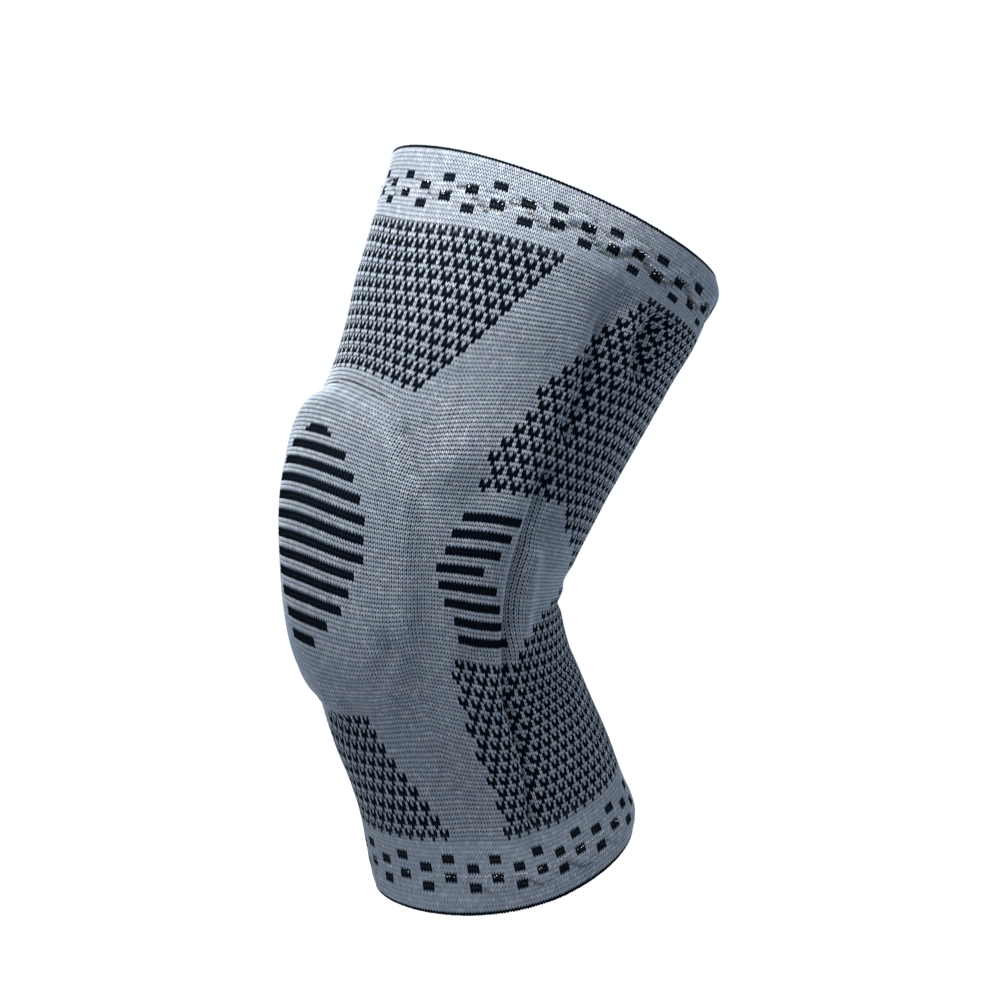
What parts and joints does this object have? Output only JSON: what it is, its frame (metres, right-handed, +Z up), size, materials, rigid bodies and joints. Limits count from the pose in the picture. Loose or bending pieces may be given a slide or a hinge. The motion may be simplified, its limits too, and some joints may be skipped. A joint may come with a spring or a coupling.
{
  "type": "knee sleeve",
  "caption": "Knitted compression knee sleeve in its worn, bent shape, with a ring pad over the kneecap, side stays and patterned cuffs.",
  "frame": {"origin": "centre of the knee, on the middle line of the leg that wears the sleeve", "axes": "+Z up, as the sleeve is worn on a standing bent leg; -Y to the front of the knee; +X to the side that shows"},
  "size_m": [0.1372, 0.1858, 0.3053],
  "materials": {
    "jacquard_knit": "matte jacquard knit of grey-blue and near-black yarn",
    "cuff_knit": "matte firm knit of grey-blue yarn with small black rectangles",
    "black_yarn": "matte near-black elastic yarn",
    "soft_gel": "satin soft gel",
    "stay_steel": "satin spring steel",
    "grip_silicone": "glossy clear silicone"
  },
  "bodies": {
    "root": {"knit_sleeve": "jacquard_knit", "thigh_cuff": "cuff_knit", "calf_cuff": "cuff_knit", "thigh_edge": "black_yarn", "calf_edge": "black_yarn", "kneecap_pad": "soft_gel", "outer_stay": "stay_steel", "inner_stay": "stay_steel", "thigh_grip": "grip_silicone", "calf_grip": "grip_silicone"}
  },
  "joints": []
}
